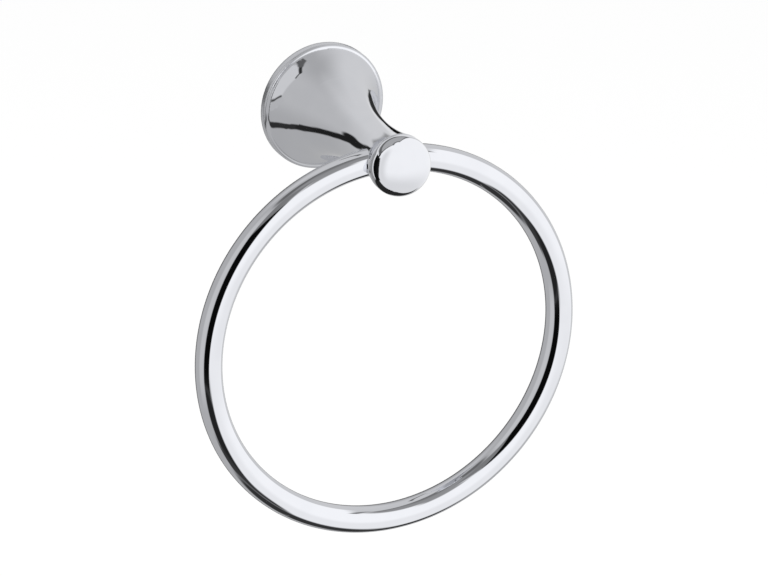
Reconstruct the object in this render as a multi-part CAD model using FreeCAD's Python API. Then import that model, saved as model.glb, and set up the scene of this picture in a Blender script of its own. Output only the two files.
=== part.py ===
import FreeCAD, Part
import math
import os

# Towel ring for a wall, in millimetres.
# The wall's face is the plane y = 0, +Y points into the wall and +Z is up.
# The post stands out of the wall along -Y, and the ring hangs from it in a plane parallel to the wall.

# Flange and post: one hollow casting, turned about the Y axis
flange_diameter = 57.5      # outside of the rim against the wall
rim_depth = 4.0             # from the wall to the narrow flat edge that faces the room
rim_round = 1.1             # rounding of the rim's front edge
rim_flat = 0.5              # width of the flat edge
crease_round = 0.9          # hollow between the flat edge and the flare
flare_slope = 45.0          # of the flare's start, against the wall
flare_end = 18.0            # from the wall to where the flare has run into the long waisted curve
flare_spread = 3.95         # at the flat edge, from the flange's outside in to where that curve would end
flare_start_pull = 0.96     # the flare's inner handles, as shares of the way to where its end
flare_end_pull = 0.3        # directions cross: it then reaches the waisted curve with that curve's bend
neck_diameter = 22.2        # thinnest place of the post
neck_setback = 24.3         # from the seam with the cap back to that place
post_length = 82.8          # from the wall to the seam
seam_round = 0.5            # rounding of the post's front edge
post_wall = 2.8             # wall of the hollow post
web_thickness = 5.5         # metal between the hollow and the ring's bore
front_wall = 1.8            # metal between the ring's bore and the seam

# Domed cap, as wide as the post's front: half of a flattened ball and a little more
cap_height = 10.8           # from the widest place to the top of the dome
cap_shoulder = 2.5          # from the seam to the widest place
cap_seam_round = 0.3

# Ring: a tube bent to a circle, its joint hidden in the post
ring_outside_diameter = 180.0
tube_diameter = 12.0
tube_wall = 1.4
joint_gap = 0.6             # between the tube's two ends
ring_clearance = 0.05       # between the tube and its bore in the post

# Tie screw: comes from the hollow, goes between the tube's ends and pulls the cap on
tie_diameter = 5.0
tie_length = 25.0           # below the head
tie_tip_chamfer = 0.5
tie_head_diameter = 9.5
tie_head_height = 3.7
tie_recess_width = 1.1      # wings of the cross recess
tie_recess_span = 5.0
tie_recess_depth = 2.2
tie_clearance = 0.25        # between the screw and the plain holes
cap_hole_spare = 1.8        # blind hole deeper than the screw's tip

# Round socket in the flange's back, with a lip at its top that hooks over the wall bracket
rim_wall = 5.75             # metal between the socket and the outside of the rim
hook_angle = 70.0           # arc of the lip
hook_clearance = 0.05
hook_spare = 0.2            # room beyond the lift that hooking on takes
socket_spare = 0.5          # socket deeper than the bracket

# Wall bracket: a round plate with a bevelled edge that is wider in front than at the wall
bracket_thickness = 3.5
bracket_bevel = 1.8         # radius at the front less radius at the wall
bracket_hole_diameter = 4.5
bracket_hole_margin = 5.2   # from each hole's middle to the edge at the wall

# Grub screw: comes from below through the rim and wedges against the bracket's bevel
grub_diameter = 3.0
grub_length = 6.0
grub_margin = 0.1           # between its point and the bracket's front edge
grub_point_diameter = 2.0
grub_socket_width = 1.5     # across the flats of the hexagon
grub_socket_depth = 2.0
thread_clearance = 0.05     # between a screw and its threaded hole

flange_radius = flange_diameter / 2
neck_radius = neck_diameter / 2
neck_distance = post_length - neck_setback
tube_radius = tube_diameter / 2
ring_radius = (ring_outside_diameter - tube_diameter) / 2
ring_distance = post_length - front_wall - tube_radius
web_distance = ring_distance - tube_radius - web_thickness
socket_radius = flange_radius - rim_wall
socket_depth = bracket_thickness + socket_spare
bracket_front_radius = socket_radius - bracket_bevel - hook_spare
bracket_back_radius = bracket_front_radius - bracket_bevel
bracket_hole_height = bracket_back_radius - bracket_hole_margin
grub_point_radius = grub_point_diameter / 2
grub_distance = bracket_thickness - grub_margin - grub_point_radius
ring_centre = FreeCAD.Vector(0, -ring_distance, -ring_radius)

tolerance = 1e-3            # for finding an edge by its place
origin = FreeCAD.Vector(0, 0, 0)
post_axis = FreeCAD.Vector(0, 1, 0)
outwards = FreeCAD.Vector(0, -1, 0)


def at(radius, distance):
    """Point of a turned outline: its radius about the post's axis and its distance from the wall."""
    return FreeCAD.Vector(radius, -distance, 0)


def line(start, end):
    return Part.LineSegment(start, end).toShape()


def arc(start, middle, end):
    return Part.Arc(start, middle, end).toShape()


def turned(edges, angle=360.0):
    """Solid that an outline sweeps about the post's axis."""
    face = Part.Face(Part.Wire(edges))
    solid = face.revolve(origin, post_axis, angle)
    if solid.Volume < 0:
        solid.reverse()
    return solid


def rod(radius, start_distance, length):
    """Round bar on the post's axis that starts at a distance from the wall and runs outwards."""
    return Part.makeCylinder(radius, length, FreeCAD.Vector(0, -start_distance, 0), outwards)


def edges_at(solid, distance):
    """Edges that lie in the plane at a distance from the wall."""
    return [edge for edge in solid.Edges
            if abs(edge.BoundBox.YMin + distance) < tolerance
            and abs(edge.BoundBox.YMax + distance) < tolerance]


# The waisted curve is a circle that is thinnest at the neck. The flare spreads from it to the rim.
waist_depth = flange_radius - flare_spread - neck_radius
waist_radius = (waist_depth ** 2 + (neck_distance - rim_depth) ** 2) / (2 * waist_depth)
waist_centre = at(neck_radius + waist_radius, neck_distance)


def waist_point(distance, depth=0.0):
    """Point of the waisted curve at a distance from the wall, or of the curve a depth inside it."""
    radius = waist_radius + depth
    reach = distance - neck_distance
    return at(waist_centre.x - math.sqrt(radius ** 2 - reach ** 2), distance)


def crease_point(turn):
    """Point of the hollow beside the flat edge, after a turn from that edge."""
    angle = math.radians(turn)
    middle = at(flange_radius - rim_round - rim_flat, rim_depth + crease_round)
    return middle + at(-math.sin(angle), -math.cos(angle)) * crease_round


def flare():
    """Curve that leaves the crease at the flare's slope and bends less and less towards the waisted one."""
    start = crease_point(flare_slope)
    end = waist_point(flare_end)
    chord = end - start
    slope = math.radians(flare_slope)
    start_direction = at(-math.cos(slope), math.sin(slope))
    end_direction = (end - waist_centre).cross(FreeCAD.Vector(0, 0, -1)).normalize()
    crossing = start_direction.cross(end_direction).z
    start_reach = chord.cross(end_direction).z / crossing
    end_reach = start_direction.cross(chord).z / crossing
    curve = Part.BezierCurve()
    curve.setPoles([
        start,
        start + start_direction * (start_reach * flare_start_pull),
        end - end_direction * (end_reach * flare_end_pull),
        end,
    ])
    return curve.toShape()


def make_post():
    """Flange, waisted neck and front end, hollow from behind."""
    rim_front = at(flange_radius, rim_depth - rim_round)
    rim_corner = at(flange_radius - rim_round, rim_depth - rim_round)
    rim_middle = rim_corner + FreeCAD.Vector(1, -1, 0) * (rim_round / math.sqrt(2))
    front = waist_point(post_length)
    outer = turned([
        line(at(0, 0), at(flange_radius, 0)),
        line(at(flange_radius, 0), rim_front),
        arc(rim_front, rim_middle, at(flange_radius - rim_round, rim_depth)),
        line(at(flange_radius - rim_round, rim_depth), crease_point(0)),
        arc(crease_point(0), crease_point(flare_slope / 2), crease_point(flare_slope)),
        flare(),
        arc(waist_point(flare_end), waist_point((flare_end + post_length) / 2), front),
        line(front, at(0, post_length)),
        line(at(0, post_length), at(0, 0)),
    ])
    outer = outer.makeFillet(seam_round, edges_at(outer, post_length))

    inner_start = (rim_depth + flare_end) / 2
    hollow_start = waist_point(inner_start, post_wall)
    hollow_end = waist_point(web_distance, post_wall)
    hollow_middle = waist_point((inner_start + web_distance) / 2, post_wall)
    hollow = turned([
        line(at(0, 0), at(socket_radius, 0)),
        line(at(socket_radius, 0), at(socket_radius, socket_depth)),
        line(at(socket_radius, socket_depth), hollow_start),
        arc(hollow_start, hollow_middle, hollow_end),
        line(hollow_end, at(0, web_distance)),
        line(at(0, web_distance), at(0, 0)),
    ])
    post = outer.cut(hollow)

    # The lip at the top of the socket hooks behind the bracket's bevel.
    lip = turned([
        line(at(bracket_back_radius + hook_clearance, 0), at(socket_radius + post_wall / 2, 0)),
        line(at(socket_radius + post_wall / 2, 0), at(socket_radius + post_wall / 2, bracket_thickness)),
        line(at(socket_radius + post_wall / 2, bracket_thickness),
             at(bracket_front_radius + hook_clearance, bracket_thickness)),
        line(at(bracket_front_radius + hook_clearance, bracket_thickness),
             at(bracket_back_radius + hook_clearance, 0)),
    ], hook_angle)
    lip.rotate(origin, post_axis, -90 - hook_angle / 2)
    post = post.fuse(lip)

    ring_bore = Part.makeTorus(ring_radius, tube_radius + ring_clearance, ring_centre, post_axis)
    tie_bore = rod(tie_diameter / 2 + tie_clearance, web_distance - web_thickness,
                   post_length - web_distance + 2 * web_thickness)
    grub_bore = Part.makeCylinder(grub_diameter / 2 + thread_clearance, flange_radius,
                                  FreeCAD.Vector(0, -grub_distance, 0), FreeCAD.Vector(0, 0, -1))
    return post.cut([ring_bore, tie_bore, grub_bore]).removeSplitter()


def make_front_cap():
    """Domed cap, tapped from behind for the tie screw."""
    cap_radius = waist_point(post_length).x
    widest = post_length + cap_shoulder
    ball = Part.Ellipse(at(cap_radius, widest), at(0, widest + cap_height), at(0, widest))
    seam_turn = math.asin(cap_shoulder / cap_height)
    cap = turned([
        line(at(0, post_length), at(cap_radius * math.cos(seam_turn), post_length)),
        Part.ArcOfEllipse(ball, -seam_turn, math.pi / 2).toShape(),
        line(at(0, widest + cap_height), at(0, post_length)),
    ])
    cap = cap.makeFillet(cap_seam_round, edges_at(cap, post_length))
    hole_depth = web_distance + tie_length + cap_hole_spare - post_length
    return cap.cut(rod(tie_diameter / 2 + thread_clearance, post_length, hole_depth))


def make_ring():
    """Bent tube with its open joint at the top, notched so that the tie screw passes between the ends."""
    tube = Part.makeTorus(ring_radius, tube_radius, ring_centre, post_axis)
    tube = tube.cut(Part.makeTorus(ring_radius, tube_radius - tube_wall, ring_centre, post_axis))
    joint = Part.makeBox(joint_gap, 2 * tube_diameter, 2 * tube_diameter,
                         FreeCAD.Vector(-joint_gap / 2, -ring_distance - tube_diameter, -tube_diameter))
    notch = rod(tie_diameter / 2 + tie_clearance, ring_distance - tube_diameter, 2 * tube_diameter)
    return tube.cut([joint, notch])


def make_tie_screw():
    """Pan-head screw with a cross recess, its head against the web inside the hollow."""
    shank = rod(tie_diameter / 2, web_distance, tie_length)
    shank = shank.makeChamfer(tie_tip_chamfer, edges_at(shank, web_distance + tie_length))
    head_top = web_distance - tie_head_height
    head = rod(tie_head_diameter / 2, head_top, tie_head_height)
    head = head.makeFillet(tie_head_height / 2, edges_at(head, head_top))
    corner = FreeCAD.Vector(-tie_recess_span / 2, -head_top - tie_recess_depth, -tie_recess_width / 2)
    wing = Part.makeBox(tie_recess_span, tie_recess_depth, tie_recess_width, corner)
    across = wing.copy()
    across.rotate(origin, post_axis, 90)
    return head.fuse(shank).cut(wing.fuse(across)).removeSplitter()


def make_wall_bracket():
    """Round plate with a bevelled edge and two screw holes, one above the other."""
    plate = turned([
        line(at(0, 0), at(bracket_back_radius, 0)),
        line(at(bracket_back_radius, 0), at(bracket_front_radius, bracket_thickness)),
        line(at(bracket_front_radius, bracket_thickness), at(0, bracket_thickness)),
        line(at(0, bracket_thickness), at(0, 0)),
    ])
    holes = []
    for side in (-1, 1):
        start = FreeCAD.Vector(0, 0, side * bracket_hole_height)
        holes.append(Part.makeCylinder(bracket_hole_diameter / 2, bracket_thickness, start, outwards))
    return plate.cut(holes)


def make_grub_screw():
    """Hexagon-socket set screw whose point bears on the bracket's bevel."""
    radius = grub_diameter / 2
    slope = bracket_bevel / bracket_thickness
    point_height = bracket_front_radius - slope * grub_margin
    start = FreeCAD.Vector(0, -grub_distance, -point_height)
    down = FreeCAD.Vector(0, 0, -1)
    body = Part.makeCylinder(radius, grub_length, start, down)
    point_edges = [edge for edge in body.Edges if abs(edge.BoundBox.ZMin + point_height) < tolerance]
    body = body.makeChamfer(radius - grub_point_radius, point_edges)
    corner = grub_socket_width / math.sqrt(3)
    bottom = -point_height - grub_length
    points = []
    for turn in range(6):
        angle = math.radians(60 * turn)
        across = FreeCAD.Vector(math.cos(angle), math.sin(angle), 0) * corner
        points.append(FreeCAD.Vector(0, -grub_distance, bottom) + across)
    hexagon = Part.Face(Part.makePolygon(points + points[:1]))
    return body.cut(hexagon.extrude(FreeCAD.Vector(0, 0, grub_socket_depth)))


makers = {
    "post": make_post,
    "front_cap": make_front_cap,
    "ring": make_ring,
    "tie_screw": make_tie_screw,
    "wall_bracket": make_wall_bracket,
    "grub_screw": make_grub_screw,
}

os.makedirs("parts", exist_ok=True)
for node, maker in makers.items():
    shape = maker()
    shape.exportStep(f"parts/{node}.step")
    box = shape.optimalBoundingBox()
    print(f"{node}: {len(shape.Solids)} solid, valid {shape.isValid()}, {shape.Volume:.0f} mm3, "
          f"x {box.XMin:.2f} {box.XMax:.2f}, y {box.YMin:.2f} {box.YMax:.2f}, "
          f"z {box.ZMin:.2f} {box.ZMax:.2f}")
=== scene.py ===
# %% [markdown]
# # A chrome towel ring
#
# A towel ring is a bent tube held in the front of a flared post, with a domed cap over the joint. All of
# it that shows is polished chrome plate, so nearly everything that the eye sees is a reflection. This
# lesson loads the part, gives it its exact surfaces and finishes, and then builds the studio that the
# chrome reflects.

# %% Load the part
import bpy
import math
from mathutils import Matrix, Vector


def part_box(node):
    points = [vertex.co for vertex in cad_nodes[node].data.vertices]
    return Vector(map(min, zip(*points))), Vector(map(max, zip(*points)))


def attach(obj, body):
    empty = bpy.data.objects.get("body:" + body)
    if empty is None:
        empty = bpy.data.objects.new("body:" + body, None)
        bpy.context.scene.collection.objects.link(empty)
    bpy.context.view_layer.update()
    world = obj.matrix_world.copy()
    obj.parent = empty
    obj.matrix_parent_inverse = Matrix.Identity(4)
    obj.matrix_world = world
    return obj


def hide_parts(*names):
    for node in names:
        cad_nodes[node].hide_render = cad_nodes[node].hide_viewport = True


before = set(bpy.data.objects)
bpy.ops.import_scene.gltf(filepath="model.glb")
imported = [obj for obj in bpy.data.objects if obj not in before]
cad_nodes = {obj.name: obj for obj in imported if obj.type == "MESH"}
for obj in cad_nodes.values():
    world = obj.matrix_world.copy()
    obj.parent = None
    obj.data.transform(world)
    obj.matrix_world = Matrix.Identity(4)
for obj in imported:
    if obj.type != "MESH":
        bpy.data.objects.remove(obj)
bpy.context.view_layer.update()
print("pieces of the part:", ", ".join(sorted(cad_nodes)))

# %% [markdown]
# ## Nodes written as sentences
#
# Materials, geometry and light here are node trees. Writing each link by hand is long and hard to read,
# so two small classes do it. `Value` wraps a socket: adding or multiplying two of them adds the Math node
# and its links. `Graph` has one method, `add`, for every other node: it takes the node's type, its
# settings and what goes into its sockets.

# %% Helpers for node trees
class Value:
    """A socket that takes part in arithmetic."""

    def __init__(self, graph, socket):
        self.graph = graph
        self.socket = socket

    def math(self, operation, *others, clamp=False):
        settings = {"operation": operation, "use_clamp": clamp}
        return self.graph.add("ShaderNodeMath", settings, dict(enumerate((self, *others))))

    def __add__(self, other):
        return self.math("ADD", other)

    def __sub__(self, other):
        return self.math("SUBTRACT", other)

    def __mul__(self, other):
        return self.math("MULTIPLY", other)

    def __truediv__(self, other):
        return self.math("DIVIDE", other)

    def __rsub__(self, other):
        return self.graph.add("ShaderNodeMath", {"operation": "SUBTRACT"}, {0: other, 1: self})

    __radd__ = __add__
    __rmul__ = __mul__


class Graph:
    """A node tree that is being built."""

    def __init__(self, tree):
        self.tree = tree
        self.tree.nodes.clear()

    def node(self, kind, settings=None, sockets=None):
        node = self.tree.nodes.new(kind)
        for name, value in (settings or {}).items():
            setattr(node, name, value)
        for key, value in (sockets or {}).items():
            if isinstance(value, Value):
                self.tree.links.new(value.socket, node.inputs[key])
            else:
                node.inputs[key].default_value = value
        return node

    def add(self, kind, settings=None, sockets=None, output=0):
        return Value(self, self.node(kind, settings, sockets).outputs[output])


def smooth_step(value, start, end, low=0.0, high=1.0):
    """Turns a value into a soft step from low, at start, to high, at end."""
    return value.graph.add("ShaderNodeMapRange", {"interpolation_type": "SMOOTHSTEP"},
                           {"Value": value, "From Min": start, "From Max": end,
                            "To Min": low, "To Max": high})


def blend_values(mask, below, above):
    """A number between two, by a mask."""
    return mask * above + (1.0 - mask) * below


def vector_math(graph, operation, *vectors, output="Vector"):
    return graph.add("ShaderNodeVectorMath", {"operation": operation}, dict(enumerate(vectors)), output)


def scaled(graph, vector, factor):
    return graph.add("ShaderNodeVectorMath", {"operation": "SCALE"}, {0: vector, "Scale": factor})


# A Mix node has a pair of inputs and an output for each kind of value. These are the ones for colours.
first_colour = 6
second_colour = 7
mixed_colour = 2


def mix_colours(graph, mask, first, second):
    """A colour between two, by a mask."""
    sockets = {"Factor": mask, first_colour: (*first, 1), second_colour: (*second, 1)}
    return graph.add("ShaderNodeMix", {"data_type": "RGBA"}, sockets, mixed_colour)


def bump(graph, height, strength, depth):
    return graph.add("ShaderNodeBump", None, {"Strength": strength, "Distance": depth, "Height": height})


# %% [markdown]
# ## The ring as a swept tube
#
# The real ring is one straight tube rolled to a circle. A torus would give its outside alone, so it is
# made as the real one is: an arc is the path and a circle is swept along it. Geometry Nodes keep the
# sizes as named inputs. The tube is hollow, so the bore is a second, thinner sweep that is cut out of the
# first. The joint sits inside the post, and a round hole through both ends lets the tie screw pass.

# %% Sizes of the ring, read from the part
ring_low, ring_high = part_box("ring")
tube_radius = (ring_high.y - ring_low.y) / 2
ring_radius = (ring_high.x - ring_low.x) / 2 - tube_radius
ring_centre = Vector((0, (ring_low.y + ring_high.y) / 2, ring_high.z - tube_radius - ring_radius))
tube_wall = 0.0014
joint_gap = 0.0006
bore_overrun = 0.002
tie_hole_radius = 0.00275
steps_around = 288
steps_across = 64
print(f"ring of {ring_radius * 2000:.1f} mm across the tube's middle, tube of {tube_radius * 2000:.1f} mm")


# %% Helpers for Geometry Nodes
socket_kinds = {int: "NodeSocketInt", float: "NodeSocketFloat", tuple: "NodeSocketVector"}
sharp_angle = math.radians(30)


def new_geometry_tree(name, sizes, takes_mesh=False):
    """A node tree with an input for each named size, a Geometry output and, if asked, a Geometry input."""
    tree = bpy.data.node_groups.new(name, "GeometryNodeTree")
    tree.is_modifier = True
    graph = Graph(tree)
    tree.interface.new_socket("Geometry", in_out="OUTPUT", socket_type="NodeSocketGeometry")
    if takes_mesh:
        tree.interface.new_socket("Geometry", in_out="INPUT", socket_type="NodeSocketGeometry")
    for size_name, value in sizes.items():
        tree.interface.new_socket(size_name, in_out="INPUT", socket_type=socket_kinds[type(value)])
    start = graph.node("NodeGroupInput")
    values = {output.name: Value(graph, output) for output in start.outputs if output.name}
    return graph, values


def join(graph, *pieces):
    joined = graph.node("GeometryNodeJoinGeometry")
    for piece in pieces:
        graph.tree.links.new(piece.socket, joined.inputs["Geometry"])
    return Value(graph, joined.outputs["Geometry"])


def finish_tree(graph, geometry, material):
    """Ends a tree: instances become real, the finish is set and the result goes out."""
    real = graph.add("GeometryNodeRealizeInstances", None, {"Geometry": geometry})
    smooth = graph.add("GeometryNodeSetShadeSmooth", None, {"Geometry": real})
    dressed = graph.add("GeometryNodeSetMaterial", None, {"Geometry": smooth, "Material": material})
    graph.node("NodeGroupOutput", None, {"Geometry": dressed})


def grow(name, graph, sizes, start=None):
    """Runs a tree, on an empty mesh or a given one, and keeps the result as a plain mesh object."""
    piece = bpy.data.objects.new(name, start or bpy.data.meshes.new(name))
    bpy.context.scene.collection.objects.link(piece)
    modifier = piece.modifiers.new("Build", "NODES")
    modifier.node_group = graph.tree
    sockets = {item.name: item.identifier
               for item in graph.tree.interface.items_tree if item.in_out == "INPUT"}
    for size_name, value in sizes.items():
        modifier[sockets[size_name]] = value
    evaluated = piece.evaluated_get(bpy.context.evaluated_depsgraph_get())
    mesh = bpy.data.meshes.new_from_object(evaluated)
    piece.modifiers.remove(modifier)
    piece.data = mesh
    mesh.name = name
    mesh.set_sharp_from_angle(angle=sharp_angle)
    print(f"{name}: {len(mesh.polygons)} faces")
    return piece


# %% The ring's node tree
def swept_arc(graph, values, tube, extra_turn=0.0):
    """A tube along the ring's circle, closed at its ends. Its joint is at the top."""
    half_gap = values["Joint Gap"] / values["Ring Radius"] * 0.5 - extra_turn
    path = graph.add("GeometryNodeCurveArc", {"mode": "RADIUS"},
                     {"Resolution": values["Steps Around"], "Radius": values["Ring Radius"],
                      "Start Angle": half_gap + math.pi / 2, "Sweep Angle": math.tau - half_gap * 2})
    round_section = graph.add("GeometryNodeCurvePrimitiveCircle", {"mode": "RADIUS"},
                              {"Resolution": values["Steps Across"], "Radius": tube})
    return graph.add("GeometryNodeCurveToMesh", None,
                     {"Curve": path, "Profile Curve": round_section, "Fill Caps": True})


def build_ring_tree(material):
    sizes = {"Ring Radius": ring_radius, "Tube Radius": tube_radius, "Tube Wall": tube_wall,
             "Joint Gap": joint_gap, "Tie Hole Radius": tie_hole_radius,
             "Steps Around": steps_around, "Steps Across": steps_across}
    graph, values = new_geometry_tree("Bent tube", sizes)
    outside = swept_arc(graph, values, values["Tube Radius"])
    bore = swept_arc(graph, values, values["Tube Radius"] - values["Tube Wall"], bore_overrun)
    upright = {"Rotation": (math.pi / 2, 0, 0), "Translation": ring_centre}
    tube = graph.add("GeometryNodeTransform", None, {"Geometry": outside, **upright})
    hollow = graph.add("GeometryNodeTransform", None, {"Geometry": bore, **upright})
    drill = graph.add("GeometryNodeMeshCylinder", None,
                      {"Vertices": 48, "Radius": values["Tie Hole Radius"],
                       "Depth": values["Tube Radius"] * 4})
    tie_hole = graph.add("GeometryNodeTransform", None,
                         {"Geometry": drill, "Rotation": (math.pi / 2, 0, 0),
                          "Translation": (0, ring_centre.y, 0)})
    cutter = graph.node("GeometryNodeMeshBoolean", {"operation": "DIFFERENCE", "solver": "EXACT"},
                        {"Mesh 1": tube})
    for tool in (hollow, tie_hole):
        graph.tree.links.new(tool.socket, cutter.inputs["Mesh 2"])
    finish_tree(graph, Value(graph, cutter.outputs["Mesh"]), material)
    return graph, sizes


# %% [markdown]
# ## Polished chrome plate
#
# Chrome is a bare metal mirror, so its colour is the tint of its reflections and its roughness is how far
# it blurs them. A real plate is not perfect: handling leaves a faint haze, and polishing leaves long
# shallow waves in the metal below. Two noises on the object's own coordinates make them. The waves only
# tilt the normal by a hair, because the eye picks up very little bend in a mirror.

# %% Helpers for materials
def new_material(name):
    material = bpy.data.materials.new(name)
    material.use_nodes = True
    return material, Graph(material.node_tree)


def noise(graph, place, scale, detail, output="Fac"):
    return graph.add("ShaderNodeTexNoise", {"noise_dimensions": "3D"},
                     {"Vector": place, "Scale": scale, "Detail": detail}, output)


def close_material(graph, shader):
    graph.node("ShaderNodeOutputMaterial", None, {"Surface": shader})


# %% Chrome
clear_chrome = (0.838, 0.849, 0.89)
hazy_chrome = (0.818, 0.83, 0.872)
wave_height = 0.04
relief_unit = 0.0001


def chrome_shader(graph, crown=0.0):
    """Polished plate. Crown is a height on its surface, in relief units, as the waves are."""
    place = graph.add("ShaderNodeTexCoord", output="Object")
    haze = noise(graph, place, 90.0, 4.0)
    waves = noise(graph, place, 35.0, 2.0)
    tint = mix_colours(graph, smooth_step(haze, 0.35, 0.7), clear_chrome, hazy_chrome)
    roughness = smooth_step(haze, 0.45, 0.75, 0.035, 0.06)
    relief = bump(graph, waves * wave_height + crown, 1.0, relief_unit)
    return graph.add("ShaderNodeBsdfPrincipled", None,
                     {"Base Color": tint, "Metallic": 1.0, "Roughness": roughness, "Normal": relief})


def make_chrome():
    material, graph = new_material("chrome plate")
    close_material(graph, chrome_shader(graph))
    return material


chrome = make_chrome()
ring_graph, ring_sizes = build_ring_tree(chrome)
ring_tube = grow("ring_tube", ring_graph, ring_sizes)
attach(ring_tube, "root")
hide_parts("ring")
cad_nodes["front_cap"].material_slots[0].material = chrome

# %% [markdown]
# ## Three finishes on one casting
#
# The post is a casting, and only its front is polished. The polishing wheel rounds the narrow flat edge
# of the flange by a hair, which turns its reflection into one bright line. The side of the rim is only
# brushed. Behind, in the hollow, the plating lies on the rough skin that the mould left: dull and grainy.
# They could be three slots on split faces, but one material does it without cutting the mesh: the
# distance from the post's axis finds the rim, and what faces that axis or the wall is the inside.

# %% Where the post's finishes change
flange_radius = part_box("post")[1].x
rim_side_start = flange_radius - 0.0004
rim_side_whole = flange_radius - 0.0001
crown_start = flange_radius - 0.0018
crown_end = flange_radius - 0.0009
crown_drop = 0.9
wall_shade_end = 0.0012
# Painted shade: the rim's side is tinted darker within wall_shade_end of the wall, for the shadow where the
# flange meets the wall.
rim_painted_wall_shade = (0.40, 0.41, 0.43)
rim_in_light = (0.74, 0.75, 0.785)
brushed_roughness = 0.32
dark_skin = (0.30, 0.305, 0.31)
pale_skin = (0.47, 0.47, 0.46)
print(f"flange of {flange_radius * 2000:.1f} mm, its crown starts {crown_start * 1000:.1f} mm out")


# %% The post's finishes
def facing_inwards(graph):
    """Mask of the surfaces that face the post's axis or the wall."""
    coordinates = graph.node("ShaderNodeTexCoord")
    place = Value(graph, coordinates.outputs["Object"])
    facing = Value(graph, coordinates.outputs["Normal"])
    outwards = vector_math(graph, "NORMALIZE", vector_math(graph, "MULTIPLY", place, (1, 0, 1)))
    radial = vector_math(graph, "DOT_PRODUCT", outwards, facing, output="Value")
    to_wall = vector_math(graph, "DOT_PRODUCT", facing, (0, 1, 0), output="Value")
    return smooth_step(radial, -0.25, -0.45).math("MAXIMUM", smooth_step(to_wall, 0.6, 0.8))


def rim_shader(graph, place):
    """Plate on the rim's side: brushed rather than polished, with painted shade: its tint is darker where
    it meets the wall, standing for the shadow there.
    """
    from_wall = graph.add("ShaderNodeSeparateXYZ", None, {0: place}, "Y") * -1.0
    away = smooth_step(from_wall, 0.0, wall_shade_end)
    # Painted shade: the darker tint next to the wall stands for the shadow where the flange meets it.
    tint = mix_colours(graph, away, rim_painted_wall_shade, rim_in_light)
    return graph.add("ShaderNodeBsdfPrincipled", None,
                     {"Base Color": tint, "Metallic": 1.0, "Roughness": brushed_roughness})


def make_post_finish():
    material, graph = new_material("chrome on casting")
    place = graph.add("ShaderNodeTexCoord", output="Object")
    grain = noise(graph, place, 1400.0, 6.0)
    skin = noise(graph, place, 160.0, 3.0)
    cast = graph.add("ShaderNodeBsdfPrincipled", None,
                     {"Base Color": mix_colours(graph, skin, dark_skin, pale_skin),
                      "Metallic": 1.0, "Roughness": smooth_step(skin, 0.3, 0.7, 0.42, 0.62),
                      "Normal": bump(graph, grain, 0.5, 0.00015)})
    from_axis = vector_math(graph, "MULTIPLY", place, (1, 0, 1))
    radius = vector_math(graph, "LENGTH", from_axis, output="Value")
    on_rim = smooth_step(radius, rim_side_start, rim_side_whole)
    crown = smooth_step(radius, crown_start, crown_end) * -crown_drop
    outside = graph.add("ShaderNodeMixShader", None,
                        {0: on_rim, 1: chrome_shader(graph, crown), 2: rim_shader(graph, place)})
    whole = graph.add("ShaderNodeMixShader", None, {0: facing_inwards(graph), 1: outside, 2: cast})
    close_material(graph, whole)
    return material


cad_nodes["post"].material_slots[0].material = make_post_finish()

# %% [markdown]
# ## Plated and blackened steel
#
# The bracket is stamped from zinc-plated sheet. Zinc grows in patches with a faint blue or straw tint,
# and the sheet keeps the fine lines of the rollers, so one noise is stretched along the plate. The screw
# has the same plating in smaller patches. The grub screw is hardened and blackened: a dark oxide that has
# worn to bare steel where it rubs.

# %% Zinc and black oxide
blue_zinc = (0.50, 0.54, 0.60)
straw_zinc = (0.62, 0.60, 0.53)
oxide_black = (0.028, 0.029, 0.033)
bare_steel = (0.22, 0.21, 0.20)


def make_zinc(name, patch_scale, line_stretch):
    material, graph = new_material(name)
    place = graph.add("ShaderNodeTexCoord", output="Object")
    stretched = graph.add("ShaderNodeMapping", None, {"Vector": place, "Scale": line_stretch})
    patches = noise(graph, place, patch_scale, 5.0)
    lines = noise(graph, stretched, 220.0, 3.0)
    tint = mix_colours(graph, smooth_step(patches, 0.35, 0.65), blue_zinc, straw_zinc)
    roughness = smooth_step(patches * 0.6 + lines * 0.4, 0.3, 0.7, 0.24, 0.42)
    close_material(graph, graph.add("ShaderNodeBsdfPrincipled", None,
                                    {"Base Color": tint, "Metallic": 1.0, "Roughness": roughness,
                                     "Normal": bump(graph, lines, 0.25, 0.00005)}))
    return material


def make_black_oxide():
    material, graph = new_material("black oxide")
    place = graph.add("ShaderNodeTexCoord", output="Object")
    wear = noise(graph, place, 900.0, 5.0)
    tint = mix_colours(graph, smooth_step(wear, 0.58, 0.72), oxide_black, bare_steel)
    close_material(graph, graph.add("ShaderNodeBsdfPrincipled", None,
                                    {"Base Color": tint, "Metallic": 0.85,
                                     "Roughness": smooth_step(wear, 0.3, 0.75, 0.46, 0.3),
                                     "Normal": bump(graph, wear, 0.2, 0.00004)}))
    return material


zinc_sheet = make_zinc("zinc plated sheet", 70.0, (0.08, 1.0, 1.0))
zinc_screw = make_zinc("zinc plated screw", 420.0, (1.0, 0.3, 1.0))
black_oxide = make_black_oxide()
cad_nodes["wall_bracket"].material_slots[0].material = zinc_sheet
finishes = (chrome, zinc_sheet, zinc_screw, black_oxide)
print("finishes:", ", ".join(material.name for material in finishes))

# %% [markdown]
# ## Screw threads
#
# The two screws come with plain shanks at the thread's outer diameter. A bump on them would pass from a
# step away, but the mesh is kept as a result too, so it gets real threads. A rolled thread is a ridge
# that runs round a thinner core, and Geometry Nodes say just that: the shank is drawn in to the core, a
# triangle is swept along a helix, and both ends of the ridge fade into the core.

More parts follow.
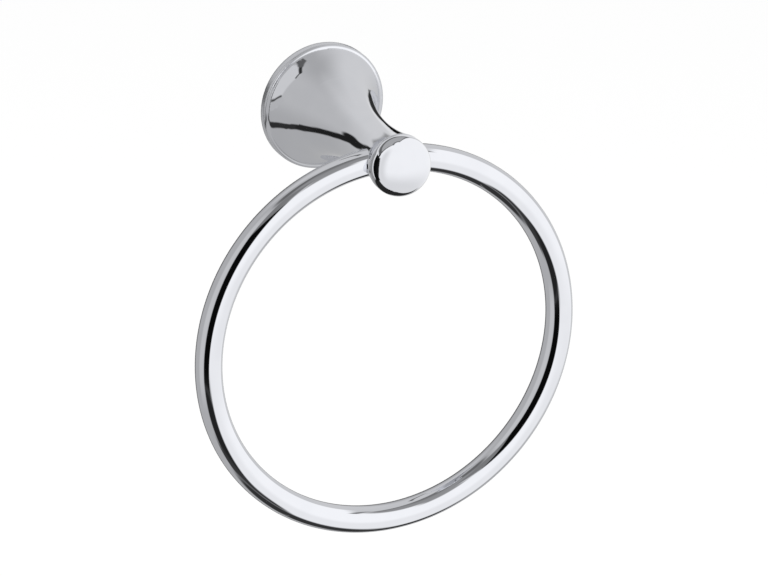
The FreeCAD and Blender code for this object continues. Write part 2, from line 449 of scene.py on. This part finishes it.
# %% Geometry Nodes for a thread
def build_thread_tree(name, sizes, material):
    graph, values = new_geometry_tree(name, sizes, takes_mesh=True)
    axis, origin, core, depth = (values[key] for key in ("Axis", "Origin", "Core Radius", "Thread Depth"))
    pitch, length = values["Pitch"], values["Thread Length"]

    rod = graph.add("GeometryNodeMergeByDistance", None, {"Geometry": values["Geometry"], "Distance": 1e-6})
    offset = vector_math(graph, "SUBTRACT", graph.add("GeometryNodeInputPosition"), origin)
    along = vector_math(graph, "DOT_PRODUCT", offset, axis, output="Value")
    radial = vector_math(graph, "SUBTRACT", offset, scaled(graph, axis, along))
    radius = vector_math(graph, "LENGTH", radial, output="Value")
    outside_core = radius.math("GREATER_THAN", core) * radius.math("LESS_THAN", (core + depth) * 1.02)
    on_shank = along.math("GREATER_THAN", -1e-5) * outside_core
    inwards = scaled(graph, radial, core / radius - 1.0)
    drawn_in = graph.add("GeometryNodeSetPosition", None,
                         {"Geometry": rod, "Selection": on_shank, "Offset": inwards})

    buried = depth * 0.1
    helix = graph.add("GeometryNodeCurveSpiral", None,
                      {"Resolution": values["Steps Per Turn"], "Rotations": length / pitch,
                       "Start Radius": core - buried, "End Radius": core - buried, "Height": length})
    upright = graph.add("GeometryNodeSetCurveNormal", {"mode": "Z_UP"}, {"Curve": helix})
    share = graph.add("GeometryNodeSplineParameter")
    fade = pitch / length * 0.5
    size = smooth_step(share, 0.0, fade) * smooth_step(share, 1.0, 1.0 - fade)
    faded = graph.add("GeometryNodeSetCurveRadius", None, {"Curve": upright, "Radius": size})
    # An equal-sided triangle is 1.5 times as high as its corners are far from its middle.
    corner = (depth + buried) / 1.5
    triangle = graph.add("GeometryNodeCurvePrimitiveCircle", {"mode": "RADIUS"},
                         {"Resolution": 3, "Radius": corner})
    outwards = graph.add("ShaderNodeCombineXYZ", None, {"X": corner * -0.5})
    crest_out = graph.add("GeometryNodeTransform", None,
                          {"Geometry": triangle, "Rotation": (0, 0, math.pi), "Translation": outwards})
    ridge = graph.add("GeometryNodeCurveToMesh", None,
                      {"Curve": faded, "Profile Curve": crest_out, "Fill Caps": True})
    start = vector_math(graph, "ADD", origin, scaled(graph, axis, values["Thread Start"]))
    placed = graph.add("GeometryNodeTransform", None,
                       {"Geometry": ridge, "Rotation": values["Turn"], "Translation": start})
    finish_tree(graph, join(graph, drawn_in, placed), material)
    return graph


# %% Threaded screws
def threaded_copy(name, node_name, material, sizes):
    """A copy of a plain screw with its thread, which stands for that screw."""
    rod = cad_nodes[node_name].data.copy()
    custom_normals = rod.attributes.get("custom_normal")
    if custom_normals:
        rod.attributes.remove(custom_normals)
    graph = build_thread_tree(f"Thread of {node_name}", sizes, material)
    piece = grow(name, graph, sizes, rod)
    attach(piece, "root")
    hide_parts(node_name)
    return piece


tie_low, tie_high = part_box("tie_screw")
tie_head_height = 0.0037
tie_length = tie_high.y - tie_low.y - tie_head_height
threaded_tie = threaded_copy("tie_screw_threaded", "tie_screw", zinc_screw, {
    "Axis": (0.0, -1.0, 0.0), "Turn": (math.pi / 2, 0.0, 0.0),
    "Origin": (0.0, tie_high.y - tie_head_height, 0.0),
    "Core Radius": 0.00201, "Thread Depth": 0.00049, "Pitch": 0.0008,
    "Thread Start": 0.001, "Thread Length": tie_length - 0.0015, "Steps Per Turn": 40})

grub_low, grub_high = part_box("grub_screw")
grub_length = grub_high.z - grub_low.z
threaded_grub = threaded_copy("grub_screw_threaded", "grub_screw", black_oxide, {
    "Axis": (0.0, 0.0, 1.0), "Turn": (0.0, 0.0, 0.0),
    "Origin": (0.0, (grub_low.y + grub_high.y) / 2, grub_low.z),
    "Core Radius": 0.00119, "Thread Depth": 0.00031, "Pitch": 0.0005,
    "Thread Start": 0.0003, "Thread Length": grub_length - 0.0008, "Steps Per Turn": 40})

# %% [markdown]
# ## The studio that the chrome sees
#
# A mirror shows the room, so the room is designed like a picture. Lamps and panels could do it, but none
# of them is black, and most of what draws chrome is black. So each group of pieces has a large sphere of
# its own around it, which only that group reflects: this is light linking. A sphere has one shade all
# over, and shapes of other shades lie on it, each over the ones before: soft rectangular cards, ovals,
# and bands along a few points. Their places are directions in degrees, as seen from the ring: azimuth 0
# points out of the wall, 90 to the right and -90 to the left, and elevation 90 is straight up. The
# spheres are hidden from the camera, cast no shadow and give no light to the floor.
#
# The directions were chosen by following rays from the camera over the finished surfaces. A line on the
# chrome has its own line in the room, whatever curve it takes on the metal.

# %% Shapes of light
def wrapped(angle):
    return angle.math("WRAP", 180.0, -180.0)


def fall(distance, edge, soft):
    """A soft step from 1 to 0 across an edge."""
    return smooth_step(distance, edge - soft, edge + soft, 1.0, 0.0)


def card(azimuth, elevation, half_width, half_height, soft=4.0):
    """A rectangular card."""
    def mask(seen_azimuth, seen_elevation):
        turn = wrapped(seen_azimuth - azimuth).math("ABSOLUTE")
        rise = (seen_elevation - elevation).math("ABSOLUTE")
        return fall(turn, half_width, soft) * fall(rise, half_height, soft)
    return mask


def oval(azimuth, elevation, half_width, half_height, soft=0.2):
    """An oval patch. Its softness is a share of its size."""
    def mask(seen_azimuth, seen_elevation):
        turn = wrapped(seen_azimuth - azimuth) / half_width
        rise = (seen_elevation - elevation) / half_height
        return fall((turn * turn + rise * rise).math("SQRT"), 1.0, soft)
    return mask


def stroke(start, end, half_width, soft):
    """A straight band between two directions."""
    across, up = end[0] - start[0], end[1] - start[1]
    length_squared = across ** 2 + up ** 2

    def mask(seen_azimuth, seen_elevation):
        turn = wrapped(seen_azimuth - start[0])
        rise = seen_elevation - start[1]
        share = (turn * across + rise * up).math("DIVIDE", length_squared, clamp=True)
        aside = turn - share * across
        above = rise - share * up
        return fall((aside * aside + above * above).math("SQRT"), half_width, soft)
    return mask


def band(light, half_width, *points, soft=2.0):
    """Strokes from point to point, all in one shade."""
    return [(stroke(start, end, half_width, soft), light) for start, end in zip(points, points[1:])]


# %% A sphere that one group of pieces reflects
first_sphere_radius = 26.0
sphere_spacing = 2.0
spheres = []


def direction_angles(graph):
    """Azimuth and elevation, in degrees, of the place on the sphere that is being shaded."""
    place = graph.add("ShaderNodeTexCoord", output="Object")
    parts = graph.node("ShaderNodeSeparateXYZ", None, {0: vector_math(graph, "NORMALIZE", place)})
    x, y, z = (Value(graph, parts.outputs[axis]) for axis in "XYZ")
    azimuth = x.math("ARCTAN2", y * -1.0).math("DEGREES")
    elevation = z.math("ARCSINE").math("DEGREES")
    return azimuth, elevation


def make_sphere(name, backdrop, shapes, pieces):
    """A sphere with shapes of light over one shade, which only the given pieces reflect."""
    material, graph = new_material(name)
    azimuth, elevation = direction_angles(graph)
    light = backdrop
    for mask, shade in shapes:
        light = blend_values(mask(azimuth, elevation), light, shade)
    glow = graph.add("ShaderNodeEmission", None, {"Color": (1.0, 1.0, 1.0, 1), "Strength": light})
    clear = graph.add("ShaderNodeBsdfTransparent")
    close_material(graph, graph.add("ShaderNodeAddShader", None, {0: glow, 1: clear}))
    material.cycles.emission_sampling = "NONE"

    radius = first_sphere_radius + sphere_spacing * len(spheres)
    bpy.ops.mesh.primitive_uv_sphere_add(segments=64, ring_count=32, radius=radius)
    sphere = bpy.context.object
    spheres.append(sphere)
    sphere.name = name
    sphere.data.materials.append(material)
    for ray in ("camera", "diffuse", "shadow", "transmission", "volume_scatter"):
        setattr(sphere, f"visible_{ray}", False)
    group = bpy.data.collections.new(f"{name} pieces")
    for piece in pieces:
        group.objects.link(piece)
    sphere.light_linking.receiver_collection = group
    print(f"{name}: {len(shapes)} shapes for {len(pieces)} pieces")


# %% [markdown]
# The ring sees a large white softbox in front and to the right, dimmer towards its foot. A black flag
# stands beside it on the left, with a grey wall beyond. The floor is dark and the ceiling grey, darker
# towards the front. The ring itself is hidden from mirror rays, because its image in the cap and in the
# post's flange would be much lighter than the real one.

# %% The ring's studio
ring_shapes = [
    # Ceiling
    (card(135, 66, 85, 28, soft=14), 0.64),
    (card(-22, 75, 92, 18, soft=5), 0.19),
    (card(-3, 62, 60, 12, soft=8), 0.31),
    (card(-92, 70, 20, 12, soft=5), 0.15),
    (card(-44, 48, 22, 12, soft=4), 0.22),
    # Walls at the left and at the right
    (card(-86, 8, 20, 42, soft=8), 0.61),
    (card(124, 5, 26, 52, soft=8), 0.66),
    # Softbox, its foot and its corners
    (card(41, -6, 60, 57, soft=4), 1.06),
    (card(37, -42, 56, 27, soft=12), 0.94),
    (card(104, -60, 18, 24, soft=14), 0.36),
    (card(-2, 50, 15, 9, soft=5), 0.32),
    # Floor and black flag
    (card(0, -90, 180, 22, soft=5), 0.035),
    (card(-41, 4, 22, 33, soft=2.5), 0.003),
    (card(-36, -44, 26, 18, soft=5), 0.018),
    (card(-36, -60, 42, 8, soft=5), 0.042),
    (oval(118, -62, 34, 11, soft=0.35), 0.03),
    # Dim corner behind, and two thin dark rails by the ceiling
    (oval(170, -12, 26, 30, soft=0.45), 0.12),
    *band(0.06, 2, (150, 72), (172, 54)),
    *band(0.20, 2.5, (58, 46), (76, 57)),
]
make_sphere("ring studio", 0.47, ring_shapes, [ring_tube])
ring_tube.visible_glossy = False

# %% [markdown]
# The cap faces a softbox that fills nearly all it sees, so its dome is white. A grey wall above and
# behind, with a dark edge all round, gives the band over the dome. Under it a light rail gives the thin
# white seam, and a black flag at the left gives the crescent.

# %% The cap's studio
cap_shapes = [
    # Softer light below and at the left
    (card(0, -75, 180, 40, soft=25), 0.80),
    (card(-78, 0, 16, 55, soft=16), 0.80),
    # Grey wall on its dark edge
    (card(-167, 50.5, 56, 27.5, soft=2.5), 0.13),
    (card(-168, 54, 49.5, 18.5, soft=2.5), 0.43),
    # Below the wall: dim, with a light rail across it and one down each side
    (card(178, -7, 42, 33, soft=5), 0.30),
    (card(-172, 17, 38, 4.5, soft=2.5), 0.80),
    (card(-139, -6, 5, 25, soft=2.5), 0.85),
    (card(150, 0, 12, 28, soft=6), 0.80),
    # Dark floor
    (card(-151, -62, 45, 24, soft=3), 0.022),
    (card(150, -66, 33, 21, soft=3), 0.022),
    (card(175, -60, 12, 22, soft=3), 0.022),
    # Black flag
    (card(-116, -12, 18, 32, soft=2.5), 0.004),
    (oval(-99, -8, 8, 24, soft=0.3), 0.01),
    *band(0.01, 5, (-117, 16), (-113, 25)),
]
make_sphere("cap studio", 1.03, cap_shapes, [cad_nodes["front_cap"]])

# %% [markdown]
# The post's flare turns through every direction, so it shows the whole room: a grey wall that is lighter
# at the right, a window with a dark frame high on the left, a long dark beam that crosses the room low on
# the left, a small bright lamp in front and a black doorway far at the right. The screws and the bracket
# share this room.

# %% The post's studio
post_shapes = [
    # Walls
    (card(-120, 30, 80, 36, soft=20), 0.54),
    (card(115, 22, 88, 40, soft=25), 0.69),
    (card(0, -8, 42, 34, soft=14), 0.48),
    (card(48, 0, 28, 38, soft=12), 0.70),
    # Window and its frame
    (card(-62, 25, 17, 33, soft=2), 0.68),
    *band(0.52, 5, (-82, 5), (-70, -10), soft=1),
    *band(0.05, 1.5, (-78, 49), (-74, 60), soft=1.5),
    *band(0.03, 3, (-74, 60), (-50, 64), soft=1.5),
    *band(0.12, 4, (-52, 64), (-28, 66)),
    *band(0.12, 4, (-48, 62), (-37, 61), (-36, 57)),
    *band(0.06, 1.6, (-78, 11), (-67, -2), soft=1.5),
    # Beam, from the far end to the near one
    *band(0.02, 1.5, (-172, 2), (-160, 1), soft=1),
    *band(0.02, 4, (-163, 0), (-152, -1)),
    *band(0.015, 7, (-152, -5), (-146, 2)),
    *band(0.015, 6.2, (-148, -2), (-123, -29)),
    *band(0.02, 5.2, (-123, -29), (-112, -33)),
    *band(0.03, 4.4, (-112, -33), (-104, -35), (-76, -35), soft=1.5),
    *band(0.03, 3.6, (-76, -35), (-66, -32), soft=1.5),
    *band(0.03, 3.8, (-66, -32), (-43, -29)),
    *band(0.12, 1.8, (-43, -29), (-17, -22), (3, -21), soft=1.5),
    (card(3, -48, 18, 14, soft=8), 0.32),
    *band(0.03, 7, (-42, 10), (-40, -24)),
    # Lamp and light corners in front, and the dim corner behind
    (oval(-11, -3, 8, 6, soft=0.3), 1.00),
    (card(27, -22, 9, 5, soft=3), 0.60),
    (card(23, -33, 9, 7, soft=3), 0.62),
    (card(177, 7, 12, 7, soft=2.5), 0.33),
    (oval(30, -3, 15, 15, soft=0.3), 1.10),
    # Doorway at the right
    (oval(150, 5, 12, 6, soft=0.35), 0.80),
    (oval(144, -7, 6.5, 11, soft=0.2), 0.03),
    (oval(153, -4, 6, 6, soft=0.2), 0.004),
]
make_sphere("post studio", 0.45, post_shapes,
            [cad_nodes["post"], cad_nodes["wall_bracket"], threaded_tie, threaded_grub])

# %% [markdown]
# ## Camera
#
# The camera stands to the left of the post and a little above it, far away behind a long lens, so the
# ring hardly tapers. Its direction, tilt and distance are worked out from the outlines of the ring and
# of the flange in the photograph. It aims at the ring's centre, which lands a little below the middle
# of the picture.

# %% Camera
picture_width, picture_height = 768, 576
camera_azimuth = math.radians(-24.858)
camera_elevation = math.radians(20.41)
camera_roll = math.radians(1.715)
camera_distance = 4.21207
focal_pixels = 9635.9
aim_pixel = (385.137, 338.889)


def make_camera():
    back = Vector((math.sin(camera_azimuth) * math.cos(camera_elevation),
                   -math.cos(camera_azimuth) * math.cos(camera_elevation), math.sin(camera_elevation)))
    level_right = Vector((math.cos(camera_azimuth), math.sin(camera_azimuth), 0))
    level_up = back.cross(level_right)
    right = level_right * math.cos(camera_roll) + level_up * math.sin(camera_roll)
    up = level_up * math.cos(camera_roll) - level_right * math.sin(camera_roll)
    pixel = camera_distance / focal_pixels
    aside = right * ((aim_pixel[0] - picture_width / 2) * pixel)
    above = up * ((picture_height / 2 - aim_pixel[1]) * pixel)
    data = bpy.data.cameras.new("camera")
    data.sensor_width = 36.0
    data.lens = focal_pixels / picture_width * data.sensor_width
    data.clip_end = 100.0
    camera = bpy.data.objects.new("camera", data)
    turn = Matrix((right, up, back)).transposed().to_4x4()
    camera.matrix_world = Matrix.Translation(ring_centre + back * camera_distance - aside - above) @ turn
    bpy.context.scene.collection.objects.link(camera)
    bpy.context.scene.camera = camera
    print(f"camera with a {data.lens:.0f} mm lens at {[round(v, 3) for v in camera.location]}")


make_camera()

# %% [markdown]
# ## Floor, lamp and background
#
# The floor is plain and pale, some way below the ring, and takes its soft shadow. The world is white for
# the camera. It lights the floor and every dull surface evenly, and a wide lamp above adds a direction.
# From below, the floor is clear, so that it doesn't hide the ring.

# %% Floor, lamp and world
floor_level = -0.35
floor_size = 40.0
floor_glow = 0.12
world_light = 0.8
lamp_place = (-0.5, -1.2, 1.8)
lamp_size = 1.6
lamp_power = 12.0


def make_floor():
    """A white floor. For the camera it glows a little, so that it comes out white and keeps the shadow."""
    material, graph = new_material("floor")
    camera_ray = graph.add("ShaderNodeLightPath", output="Is Camera Ray")
    paint = graph.add("ShaderNodeBsdfDiffuse", None, {"Color": (1.0, 1.0, 1.0, 1)})
    glow = graph.add("ShaderNodeEmission", None,
                     {"Color": (1.0, 1.0, 1.0, 1), "Strength": camera_ray * floor_glow})
    matt = graph.add("ShaderNodeAddShader", None, {0: paint, 1: glow})
    clear = graph.add("ShaderNodeBsdfTransparent")
    below = graph.add("ShaderNodeNewGeometry", output="Backfacing")
    close_material(graph, graph.add("ShaderNodeMixShader", None, {0: below, 1: matt, 2: clear}))
    bpy.ops.mesh.primitive_plane_add(size=floor_size, location=(0, 0, floor_level))
    floor = bpy.context.object
    floor.name = "floor"
    floor.visible_glossy = False
    floor.data.materials.append(material)


def make_world():
    world = bpy.data.worlds.new("world")
    bpy.context.scene.world = world
    world.use_nodes = True
    graph = Graph(world.node_tree)
    path = graph.node("ShaderNodeLightPath")
    camera_ray = Value(graph, path.outputs["Is Camera Ray"])
    glossy_ray = Value(graph, path.outputs["Is Glossy Ray"])
    strength = blend_values(camera_ray, (1.0 - glossy_ray) * world_light, 1.0)
    sky = graph.add("ShaderNodeBackground", None, {"Color": (1.0, 1.0, 1.0, 1), "Strength": strength})
    graph.node("ShaderNodeOutputWorld", None, {"Surface": sky})


def make_lamp():
    data = bpy.data.lights.new("wide lamp", "AREA")
    data.shape = "DISK"
    data.size = lamp_size
    data.energy = lamp_power
    lamp = bpy.data.objects.new("wide lamp", data)
    lamp.location = lamp_place
    lamp.rotation_mode = "QUATERNION"
    lamp.rotation_quaternion = (ring_centre - lamp.location).to_track_quat("-Z", "Y")
    lamp.visible_glossy = False
    bpy.context.scene.collection.objects.link(lamp)


make_floor()
make_world()
make_lamp()
bpy.context.scene.view_settings.view_transform = "Standard"
print(f"floor {-floor_level:.2f} m below the post, lamp {lamp_size:.1f} m wide")
